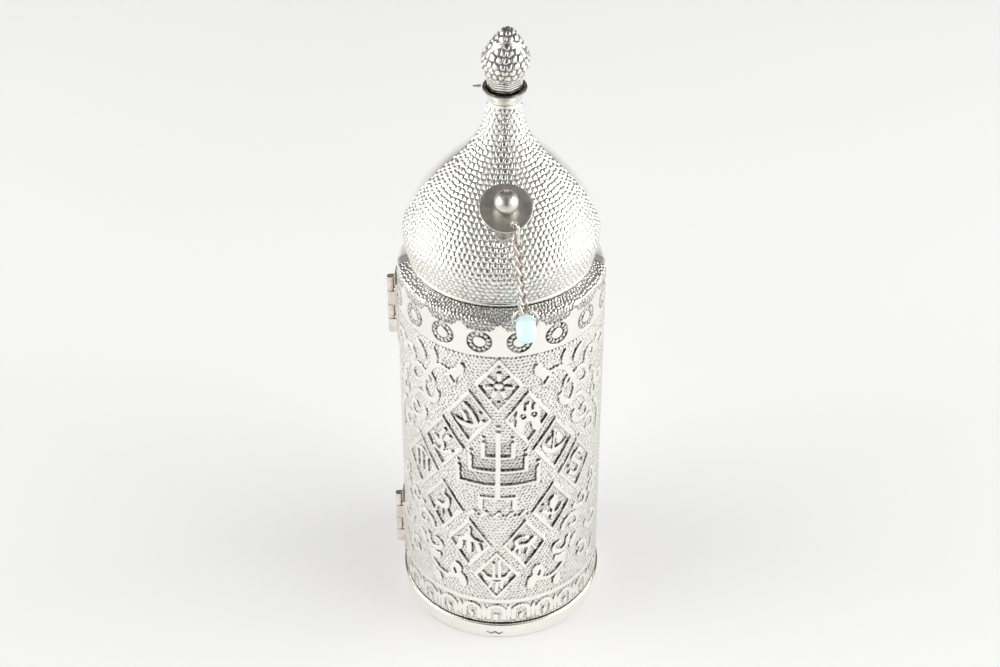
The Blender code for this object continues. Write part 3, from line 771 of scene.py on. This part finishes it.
def turned(name, outline, columns, finish, place=None, closed=False, relief=None):
    """A whole turned body from an outline that runs up its outer side. Closed joins the outline's ends."""
    outline = np.array(outline, float)
    rows = len(outline)
    angle = np.tile(np.arange(columns)[:, None] * 2 * np.pi / columns, (1, rows))
    radius, height = (np.tile(outline[:, k], (columns, 1)) for k in (0, 1))
    if relief:
        radius, height = relief(angle, radius, height)
    vertices = np.stack([radius * np.sin(angle), -radius * np.cos(angle), height], axis=2)
    numbers = np.arange(columns * rows).reshape(columns, rows)
    across = np.roll(numbers, -1, axis=0)
    corners = [numbers, across, np.roll(across, -1, axis=1), np.roll(numbers, -1, axis=1)]
    if not closed:
        corners = [corner[:, :-1] for corner in corners]
    obj = mesh_object(name, vertices, np.stack(corners, axis=2).reshape(-1, 4).tolist(), finish)
    bm = bmesh.new()
    bm.from_mesh(obj.data)
    bmesh.ops.remove_doubles(bm, verts=bm.verts, dist=1e-8)
    bm.to_mesh(obj.data)
    bm.free()
    if place:
        obj.data.transform(place)
    obj.data.set_sharp_from_angle(angle=SHARP_EDGE)
    return obj


def frozen(obj):
    """The object's mesh as its modifiers make it."""
    graph = bpy.context.evaluated_depsgraph_get()
    return bpy.data.meshes.new_from_object(obj.evaluated_get(graph))


def cut(obj, tool, operation):
    """Applies a Boolean and removes its tool."""
    modifier = obj.modifiers.new("cut", "BOOLEAN")
    modifier.operation = operation
    modifier.object = tool
    mesh = frozen(obj)
    obj.modifiers.clear()
    obj.data = mesh
    bpy.data.objects.remove(tool)


def tool_object(bm, place=None):
    bmesh.ops.recalc_face_normals(bm, faces=bm.faces)
    mesh = bpy.data.meshes.new("tool")
    bm.to_mesh(mesh)
    bm.free()
    obj = add_object("tool", mesh)
    if place:
        obj.matrix_world = place
    return obj


def cylinder_tool(radius, length, place):
    bm = bmesh.new()
    sizes = {"radius1": radius * MM, "radius2": radius * MM, "depth": length * MM}
    bmesh.ops.create_cone(bm, cap_ends=True, segments=48, **sizes)
    return tool_object(bm, place)


# Materials.


class Nodes:
    """The node tree of a material or a world, with short calls for its nodes."""

    def __init__(self, owner, shader="Principled BSDF"):
        owner.use_nodes = True
        self.owner, self.tree = owner, owner.node_tree
        self.shader = self.tree.nodes[shader]

    def link(self, value, socket):
        if isinstance(value, bpy.types.NodeSocket):
            self.tree.links.new(value, socket)
        else:
            socket.default_value = value

    def add(self, kind, **settings):
        node = self.tree.nodes.new(kind)
        for key, value in settings.items():
            setattr(node, key, value)
        return node

    def tarnish_and_shade(self):
        return self.add("ShaderNodeAttribute", attribute_name="tarnish_and_shade").outputs["Fac"]

    def noise(self, scale, detail=3.0, stretch=(1, 1, 1), rough=0.5):
        position = self.add("ShaderNodeTexCoord").outputs["Object"]
        mapping = self.fill("ShaderNodeMapping", Vector=position, Scale=stretch)
        vector = mapping.outputs["Vector"]
        noise = self.fill("ShaderNodeTexNoise", Vector=vector, Scale=scale, Detail=detail, Roughness=rough)
        return noise.outputs["Fac"]

    def fill(self, kind, **values):
        node = self.add(kind)
        for key, value in values.items():
            self.link(value, node.inputs[key])
        return node

    def ramp(self, value, start, end, low_value, high_value):
        node = self.add("ShaderNodeMapRange", interpolation_type="SMOOTHSTEP")
        names = ("Value", "From Min", "From Max", "To Min", "To Max")
        for name, number in zip(names, (value, start, end, low_value, high_value)):
            self.link(number, node.inputs[name])
        return node.outputs["Result"]

    def maths(self, operation, first, second, clamped=False):
        node = self.add("ShaderNodeMath", operation=operation, use_clamp=clamped)
        self.link(first, node.inputs[0])
        self.link(second, node.inputs[1])
        return node.outputs["Value"]

    def mix(self, share, first, second):
        node = self.add("ShaderNodeMix", data_type="RGBA")
        for name, value in zip(("Factor", "A", "B"), (share, first, second)):
            self.link(value, node.inputs[name])
        return node.outputs["Result"]

    def bump(self, value, strength, distance):
        node = self.fill("ShaderNodeBump", Height=value, Strength=strength, Distance=distance * MM)
        self.link(node.outputs["Normal"], self.shader.inputs["Normal"])

    def set(self, **values):
        for key, value in values.items():
            self.link(value, self.shader.inputs[key.replace("_", " ").title().replace("Ior", "IOR")])
        return self.owner


# Colours of clean silver and of its dark oxide. The dark colour also paints the shade, shadows and dark
# reflections that the mesh carries.
SILVER = (0.97, 0.955, 0.90, 1)
OXIDE_AND_SHADE = (0.035, 0.032, 0.03, 1)


def silver(name, polish):
    """Silver plate whose recesses keep their dark oxide, read from the mesh's tarnish, which also holds
    painted shade, shadows and dark reflections.
    """
    nodes = Nodes(bpy.data.materials.new(name))
    blotches = nodes.noise(420, 4)
    specks = nodes.ramp(nodes.noise(900, 3, rough=0.7), 0.70, 0.76, 0, 0.45)
    specks = nodes.maths("MULTIPLY", specks, nodes.ramp(nodes.noise(60, 2), 0.55, 0.7, 0, 1))
    patchy_dark = nodes.maths("MULTIPLY", nodes.tarnish_and_shade(), nodes.ramp(blotches, 0.3, 0.62, 0.72, 1.1))
    dark = nodes.maths("ADD", patchy_dark, specks, clamped=True)
    dull = nodes.ramp(dark, 0, 0.8, polish, 0.5)
    roughness = nodes.maths("ADD", dull, nodes.ramp(blotches, 0.35, 0.7, 0, 0.06), clamped=True)
    nodes.bump(nodes.noise(2600, 2), 0.12, 0.05)
    return nodes.set(base_color=nodes.mix(dark, SILVER, OXIDE_AND_SHADE), metallic=1.0, roughness=roughness)


def nickel(name, colour, dark, roughness, brushed=(1, 1, 1), inner=0.0):
    """Nickel silver, brushed or dull, with warm tarnish in patches and, for wire, tarnish and painted shade
    inside its bends.
    """
    nodes = Nodes(bpy.data.materials.new(name))
    lines = nodes.noise(700, 3, brushed)
    patches = nodes.ramp(nodes.noise(260, 4), 0.35, 0.7, 0, 0.6)
    shade = nodes.maths("ADD", patches, nodes.ramp(lines, 0.4, 0.75, 0, 0.35), clamped=True)
    # Inside the wire's bends: tarnish and painted shade, read from the mesh.
    if inner:
        bend_shade = nodes.maths("MULTIPLY", nodes.tarnish_and_shade(), inner)
        shade = nodes.maths("ADD", shade, bend_shade, clamped=True)
    nodes.bump(lines, 0.25, 0.04)
    return nodes.set(
        base_color=nodes.mix(shade, (*colour, 1), (*dark, 1)),
        metallic=1.0,
        roughness=nodes.ramp(lines, 0.3, 0.7, roughness, roughness + 0.12),
    )


def glass():
    """Cloudy glass. Its faint glow stands in for light that passes through it."""
    nodes = Nodes(bpy.data.materials.new("turquoise_glass"))
    swirl = nodes.noise(190, 3, (1, 1, 2.5))
    colour = nodes.mix(nodes.ramp(swirl, 0.35, 0.7, 0, 1), (0.76, 0.985, 1.0, 1), (0.94, 1.0, 1.0, 1))
    return nodes.set(
        base_color=colour,
        roughness=nodes.ramp(swirl, 0.3, 0.7, 0.04, 0.1),
        transmission_weight=0.15,
        subsurface_weight=0.3,
        subsurface_scale=0.003,
        emission_color=(0.55, 0.95, 1.0, 1),
        emission_strength=0.12,
        ior=1.45,
    )


RELIEF_SILVER = silver("embossed_silver", 0.16)
PLAIN_SILVER = silver("plain_silver", 0.13)
DISC_NICKEL = nickel("disc_nickel", (0.71, 0.67, 0.61), (0.42, 0.385, 0.34), 0.32)
BALL_NICKEL = nickel("ball_nickel", (0.80, 0.78, 0.74), (0.60, 0.56, 0.51), 0.24)
WIRE_NICKEL = nickel("wire_nickel", (0.98, 0.94, 0.90), (0.36, 0.29, 0.24), 0.3, inner=0.7)
HINGE_NICKEL = nickel("hinge_nickel", (0.93, 0.87, 0.80), (0.60, 0.53, 0.47), 0.24, brushed=(1, 1, 0.05))
GLASS = glass()


def put(obj, body, node):
    """Puts the piece on its body, and hides the CAD node that it stands for."""
    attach(obj, body)
    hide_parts(node)
    return obj


def paint(node, finish):
    """Gives its material to a CAD node that stays."""
    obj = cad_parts[node]
    obj.data.materials.clear()
    obj.data.materials.append(finish)
    return obj


# Pieces.


def shoulder(bottom, top, rounding):
    """The outside of a wall and its sloping shoulder, and their inside, down again.
    Rounding is how far below, inside and above the corner the outside turns."""
    below, across, above = rounding
    rim, under_rim, mouth = 28.4, 28.1, 26.6
    outer = [
        (WALL_RADIUS, bottom), (WALL_RADIUS, top - below), (WALL_RADIUS - across, top + above),
        (WALL_RADIUS - 0.9, top + 0.9), (rim, SHOULDER_TOP), (mouth, SHOULDER_TOP),
    ]
    inner = [
        (mouth, SHOULDER_TOP - WALL), (under_rim, SHOULDER_TOP - WALL), (INNER_RADIUS - 0.5, top + 0.1),
        (INNER_RADIUS, top - 0.5), (INNER_RADIUS, bottom),
    ]
    return outer, inner


def make_front_wall():
    split = sum(BASE_LINE) / 2
    arc = math.pi * WALL_RADIUS / FIELD_STEP

    def band(name, outer, inner, start=-1, end=1):
        swept_half(
            name, evenly(outer, FIELD_STEP), inner, "front", round(arc * (end - start) / 2), wall_relief,
            RELIEF_SILVER, "shell", along_start=outer[0][1], shares=(start, end),
        )

    def upright(bottom, top):
        return [(WALL_RADIUS, bottom), (WALL_RADIUS, top)], [(INNER_RADIUS, top), (INNER_RADIUS, bottom)]

    field = upright(split, BAND_BOTTOM)
    band("left_field", *field, -1, -MIDDLE_SHARE)
    band("middle_field", *field, -MIDDLE_SHARE, MIDDLE_SHARE)
    band("right_field", *field, MIDDLE_SHARE, 1)
    band("base_band", *upright(WALL_BOTTOM, split))
    band("crown_band", *shoulder(BAND_BOTTOM, WALL_TOP, (0.4, 0.25, 0.35)))


def make_rear_wall():
    outer, inner = shoulder(WALL_BOTTOM, REAR_WALL_TOP, (0.3, 0.3, 0.4))
    swept_half("rear_wall", evenly(outer, 1.2), inner, "rear", 120, plain_relief, PLAIN_SILVER, "shell")


def make_foot():
    edge, depth = 0.35, 0.8
    corner = [(edge * math.sin(a), edge - edge * math.cos(a)) for a in np.linspace(0, math.pi / 2, 6)]
    lower = [(FOOT_RADIUS - edge + across, up) for across, up in corner]
    upper = [(radius, FOOT_TOP - up) for radius, up in reversed(lower)]
    side = evenly([lower[-1], upper[0]], 0.25)[1:-1].tolist()
    outline = [(FOOT_RADIUS - depth, 0), *lower, *side, *upper]
    inner = [(FOOT_RADIUS - depth, FOOT_TOP)]
    for half, columns in (("front", 480), ("rear", 180)):
        swept_half(f"{half}_foot", outline, inner, half, columns, foot_relief, PLAIN_SILVER, "foot_rim")


def foot_relief(angle, along, height):
    """A smooth rim with a few dark nicks at the front."""
    wobble = 0.02 * np.sin(angle * 13 + 2) * np.sin(angle * 5)
    part = smoothstep(-0.16, -0.13, angle) * smoothstep(0.03, 0.0, angle)
    nicks = part * ridge(height - 2.1 - 0.35 * np.sin(angle * 75), 0.3)
    return wobble - 0.03 - 0.05 * nicks, np.clip(1.2 * nicks, 0, 1)


def make_dome():
    fine = round(math.pi * DOME_WIDTH / DOME_STEP)
    for name, half, step, columns, relief, finish in (
        ("hammered_dome", "front", DOME_STEP, fine, dome_relief, RELIEF_SILVER),
        ("plain_dome", "rear", 0.9, 110, plain_relief, PLAIN_SILVER),
    ):
        outer = evenly(DOME_OUTER, step)
        swept_half(name, outer, DOME_INNER, half, columns, relief, finish, "dome", leaning=True)


def make_collar():
    """A cup with a thick rolled lip round the bud's stalk."""
    radius, height, lip = 6.3, 197.0, 0.4
    turn = np.linspace(-0.4, math.pi / 2, 7)
    rolled = [(radius + lip * math.cos(a), height + lip * math.sin(a)) for a in turn]
    outline = [
        (3.9, 193.5), (5.2, 193.5), (5.5, 194.0), (5.9, 195.6), *rolled,
        (5.75, 197.2), (5.55, 196.9), (5.5, 195.6),
    ]
    inner = [(5.3, 194.8), (3.9, 194.6)]
    for half in ("front", "rear"):
        swept_half(
            f"{half}_cup", evenly(outline, 0.2), inner, half, 64, collar_relief, RELIEF_SILVER, "collar",
            leaning=True,
        )


def collar_relief(angle, along, height):
    """Smooth, and dark on the lip and inside it: painted shade in the hollow of the cup."""
    tarnish_and_shade = 0.12 + 0.66 * smoothstep(4.7, 5.4, along) + 0.22 * smoothstep(6.1, 6.7, along)
    return np.zeros(angle.shape), tarnish_and_shade


def bud_surface(angle, radius, height):
    """Gives the outer side of the bud its scales. The outline is the same all round."""
    along = np.tile(lengths_along(np.stack([radius[0], height[0]], axis=1)), (len(radius), 1))
    raised = bud_relief(angle, radius, along, height)[0]
    run_r, run_z = np.gradient(radius[0]), np.gradient(height[0])
    outer = np.arange(radius.shape[1]) < len(BUD_SURFACE)
    share = smoothstep(0.2, 1.2, radius) * outer / np.hypot(run_r, run_z)
    return np.maximum(radius + raised * run_z * share, 0), height - raised * run_r * share


def make_bud():
    outline = [*BUD_SURFACE, *BUD_INNER[1:]]
    columns = round(2 * math.pi * BUD_WIDTH / BUD_STEP)
    for half in ("front", "rear"):
        bud = turned(
            f"{half}_bud_scales", outline, columns, RELIEF_SILVER, closed=True, relief=bud_surface
        )
        cut(bud, split_tool(half), "INTERSECT")
        stain_bud(bud)
        put(bud, f"{half}_half", f"{half}_bud")


def split_tool(half):
    """The space of one half at the bud, whose parting tilts forward above its widest point."""
    side, start = (-1, FRONT_CUT) if half == "front" else (1, REAR_CUT)
    far, bottom, top, width = side * 20, 190, 225, 20
    tilt = BUD_SPLIT_SLOPE * (top - BUD_SPLIT_HEIGHT)
    outline = ((far, bottom), (start, bottom), (start, BUD_SPLIT_HEIGHT), (start - tilt, top), (far, top))
    bm = bmesh.new()
    face = bm.faces.new([bm.verts.new((-width * MM, y * MM, z * MM)) for y, z in outline])
    extruded = bmesh.ops.extrude_face_region(bm, geom=[face])
    moved = [item for item in extruded["geom"] if isinstance(item, bmesh.types.BMVert)]
    bmesh.ops.translate(bm, verts=moved, vec=(2 * width * MM, 0, 0))
    return tool_object(bm)


def stain_bud(obj):
    """Tarnish between the scales, from where each vertex is, and then the bud's lean."""
    mesh = obj.data
    co = read_vectors(mesh.vertices, "co").astype(float) / MM
    along = np.interp(co[:, 2], BUD_OUTER[:, 1], lengths_along(BUD_OUTER))
    angle = np.mod(np.arctan2(co[:, 0], -co[:, 1]), 2 * np.pi)
    radius = np.hypot(co[:, 0], co[:, 1])
    inside = radius < np.interp(co[:, 2], BUD_OUTER[:, 1], BUD_OUTER[:, 0]) - 0.35
    set_tarnish_and_shade(mesh, np.where(inside, 0.4, bud_relief(angle, radius, along, co[:, 2])[1]))
    co[:, 0] += lean_at(co[:, 2])
    mesh.vertices.foreach_set("co", (co * MM).astype(np.float32).ravel())
    mesh.set_sharp_from_angle(angle=math.radians(75))
    mesh.update()


def knob_frame():
    """Local Z runs out along the knob's axis, and local Y runs up the face of its disc."""
    axis = Vector((KNOB_LEAN, -math.cos(KNOB_ELEVATION), math.sin(KNOB_ELEVATION))).normalized()
    across = Vector((0, math.sin(KNOB_ELEVATION), math.cos(KNOB_ELEVATION))).cross(axis).normalized()
    made = Matrix((across, axis.cross(across), axis)).transposed().to_4x4()
    made.translation = middle("knob_disc") * MM
    return made


def make_knob(place):
    disc_radius, half, edge = 7.8, 0.45, 0.26
    flat = disc_radius - edge
    rim = []
    for a in np.linspace(-math.pi / 2, math.pi / 2, 9):
        rise = edge * math.sin(a)
        side = 1 if rise > 0 else -1
        rim.append((flat + edge * math.cos(a), side * (half - edge) + rise))
    outline = [(0, -half), *evenly([(0.5, -half), (flat, -half)], 0.8)[:-1], *rim]
    outline += [*evenly([(flat, half), (0.5, half)], 0.8)[1:], (0, half)]
    disc = turned("knob_plate", outline, 128, DISC_NICKEL, place)
    for spot, radius in ((Vector((0, 0, 0)), POST_HOLE), (CHAIN_HOLE, CHAIN_HOLE_RADIUS)):
        cut(disc, cylinder_tool(radius, 6, place @ Matrix.Translation(spot * MM)), "DIFFERENCE")
    disc.data.set_sharp_from_angle(angle=SHARP_EDGE)
    put(disc, "front_half", "knob_disc")

    ball_radius, base = 3.6, half + 0.3
    centre = base + ball_radius - 0.1
    lowest = math.asin((half + 0.32 - centre) / ball_radius)
    ball = [(0, base), (1.3, base)]
    for a in np.linspace(lowest, math.pi / 2, 40):
        ball.append((ball_radius * math.cos(a), centre + ball_radius * math.sin(a)))
    put(turned("polished_ball", ball, 72, BALL_NICKEL, place), "front_half", "knob_ball")
    paint("knob_post", BALL_NICKEL)


def wire_loop(name, points, wire, place, body):
    """A closed round wire through the points, with tarnish and painted shade inside its bends, on its body.
    """
    curve = bpy.data.curves.new(name, "CURVE")
    curve.dimensions = "3D"
    curve.bevel_depth = wire / 2 * MM
    curve.bevel_resolution = 4
    spline = curve.splines.new("POLY")
    spline.points.add(len(points) - 1)
    for target, point in zip(spline.points, points):
        target.co = (*(Vector(point) * MM), 1)
    spline.use_cyclic_u = True
    rough = add_object("wire", curve)
    mesh = frozen(rough)
    bpy.data.objects.remove(rough)
    co, normal = read_vectors(mesh.vertices, "co"), read_vectors(mesh.vertex_normals, "vector")
    # Painted shade with tarnish on the side of the wire that faces the loop's middle, where the links shade
    # each other.
    inward = -(co * normal).sum(axis=1) / np.maximum(np.linalg.norm(co, axis=1), 1e-6)
    set_tarnish_and_shade(mesh, smoothstep(0, 0.7, inward))
    mesh.transform(place)
    mesh.shade_smooth()
    mesh.materials.clear()
    mesh.materials.append(WIRE_NICKEL)
    put(add_object(name, mesh), body, body)


def oval(length, width, count, twist=0.0):
    """An oval in the local X-Z plane, turned about Z by twist radians for each millimetre of height."""
    points = []
    for index in range(count):
        angle = 2 * math.pi * (index + 0.5) / count
        height = width / 2 * math.cos(angle) + math.copysign((length - width) / 2, math.cos(angle))
        side = width / 2 * math.sin(angle)
        points.append((side * math.cos(twist * height), side * math.sin(twist * height), height))
    return evenly([*points, points[0]], 0.22)[:-1]


def make_chain(place):
    outwards = place.to_3x3() @ CHAIN_HOLE
    tilt = Matrix.Rotation(-CHAIN_LEAN, 4, "Y")

    def at(node):
        return Matrix.Translation(middle(node) * MM)

    jump_turn = Matrix.Rotation(math.atan2(outwards.y, outwards.x), 4, "Z")
    wire_loop("jump_wire", oval(6.9, 2.35, 32), JUMP_WIRE, at("jump_link") @ jump_turn, "jump_link")
    turns = np.linspace(*LINK_TURNS, LINKS)
    twist = turns[0] - turns[1] - math.pi / 2
    link = oval(LINK_PITCH + LINK_PLAY + WIRE, LINK_WIDTH, 48, twist / LINK_PITCH)
    for number, turn in enumerate(turns, 1):
        node = f"chain_link_{number}"
        link_place = at(node) @ tilt @ Matrix.Rotation(turn, 4, "Z")
        wire_loop(f"twisted_link_{number}", link, WIRE, link_place, node)
    angles = np.linspace(0, 2 * math.pi, 73)[:-1]
    circle = [(RING_SIZE * math.sin(a), 0, RING_SIZE * math.cos(a)) for a in angles]
    wire_loop("ring_wire", circle, RING_WIRE, at("bead_ring") @ tilt, "bead_ring")
    bead_place = at("glass_bead") @ tilt @ Matrix.Rotation(math.pi / 2, 4, "Y")
    bead = turned("turquoise_bead", bead_outline(), 72, GLASS, bead_place, closed=True)
    put(bead, "glass_bead", "glass_bead")


def bead_outline():
    """A round bead's section, with a wide hole along it."""
    reach, bore, widest, end = 2.88, 1.95, 4.4, 3.85
    outer = [(widest * math.sqrt(1 - (x / end) ** 2), x) for x in np.linspace(-reach, reach, 33)]
    mouth = [(2.45, 2.92), (2.15, 2.86), (2.0, 2.65), (bore, 2.4)]
    return [*((radius, -x) for radius, x in reversed(mouth)), *outer, *mouth]


def paint_frame():
    for node in ("closing_lip", "front_floor", "rear_floor"):
        paint(node, PLAIN_SILVER)
    paint("collar_peg", WIRE_NICKEL)
    for hinge in ("lower_hinge", "upper_hinge"):
        for part in ("front_leaf", "rear_leaf", "pin"):
            obj = paint(f"{hinge}_{part}", HINGE_NICKEL)
            bevel = obj.modifiers.new("soft_edges", "BEVEL")
            bevel.width = 0.08 * MM
            bevel.segments = 2
            bevel.limit_method = "ANGLE"
            bevel.angle_limit = math.radians(50)


# Studio.


def make_floor():
    bm = bmesh.new()
    bmesh.ops.create_circle(bm, cap_ends=True, segments=96, radius=4)
    mesh = bpy.data.meshes.new("studio_floor")
    bm.to_mesh(mesh)
    bm.free()
    nodes = Nodes(bpy.data.materials.new("pale_floor"))
    shade = nodes.ramp(nodes.noise(3, 2), 0.3, 0.7, 0, 1)
    pale = nodes.mix(shade, (0.92, 0.92, 0.915, 1), (0.94, 0.94, 0.935, 1))
    mesh.materials.append(nodes.set(base_color=pale, roughness=0.9))
    add_object("studio_floor", mesh)


def add_area(name, place, size, power, glossy=True):
    """A softbox that faces the case. Without glossy it lights the floor but isn't mirrored in metal."""
    light = bpy.data.lights.new(name, "AREA")
    light.shape = "RECTANGLE"
    light.size, light.size_y = size
    light.energy = power
    obj = add_object(name, light)
    obj.visible_glossy = glossy
    obj.location = place
    obj.rotation_euler = (Vector((0, 0, 0.1)) - Vector(place)).to_track_quat("-Z", "Y").to_euler()


def make_world():
    """A white tent: bright at the horizon and both sides, dim above the front."""
    world = bpy.data.worlds.new("white_tent")
    nodes = Nodes(world, "Background")
    direction = nodes.add("ShaderNodeTexCoord").outputs["Generated"]

    def lobe(towards, start, end, strength):
        dot = nodes.add("ShaderNodeVectorMath", operation="DOT_PRODUCT")
        nodes.link(direction, dot.inputs[0])
        nodes.link(Vector(towards).normalized(), dot.inputs[1])
        return nodes.ramp(dot.outputs["Value"], start, end, 0, strength)

    left = lobe((-1, -0.1, 0), 0.30, 0.85, 0.68)
    right = lobe((1, -0.1, 0), 0.30, 0.85, 0.78)
    low_down = lobe((0, 0, -1), -0.8, -0.3, 1)
    sides = nodes.maths("MULTIPLY", nodes.maths("ADD", left, right), low_down)
    off_middle = nodes.maths("ADD", lobe((-1, 0, 0), 0.14, 0.42, 1), lobe((1, 0, 0), 0.14, 0.42, 1))
    in_middle = nodes.maths("SUBTRACT", 1.0, off_middle)
    front = nodes.maths("MULTIPLY", lobe((0, -1, 0), -0.1, 0.35, 0.36), in_middle)
    back = lobe((0, 1, 0), -0.1, 0.4, 0.28)
    dimmed = nodes.maths("SUBTRACT", nodes.maths("SUBTRACT", 0.44, front), back)
    nodes.set(strength=nodes.maths("ADD", dimmed, sides), color=(1, 0.995, 0.985, 1))
    bpy.context.scene.world = world


def make_camera():
    data = bpy.data.cameras.new("camera")
    data.lens = 77.98
    data.sensor_width = 36
    camera = add_object("camera", data)
    camera.location = (-0.0004, -0.5422, 0.5363)
    camera.rotation_euler = (math.radians(51.46), 0, 0)
    bpy.context.scene.camera = camera


make_camera()
make_floor()
make_world()
add_area("left_softbox", (-0.9, -0.15, 0.42), (0.9, 0.7), 4.5)
add_area("right_softbox", (0.9, -0.15, 0.42), (0.9, 0.7), 5.3)
add_area("floor_light", (0, 0.2, 1.3), (1.6, 1.6), 7.6, glossy=False)
bpy.context.scene.view_settings.view_transform = "Standard"

make_front_wall()
make_rear_wall()
make_foot()
make_dome()
make_collar()
make_bud()
KNOB = knob_frame()
make_knob(KNOB)
make_chain(KNOB)
paint_frame()
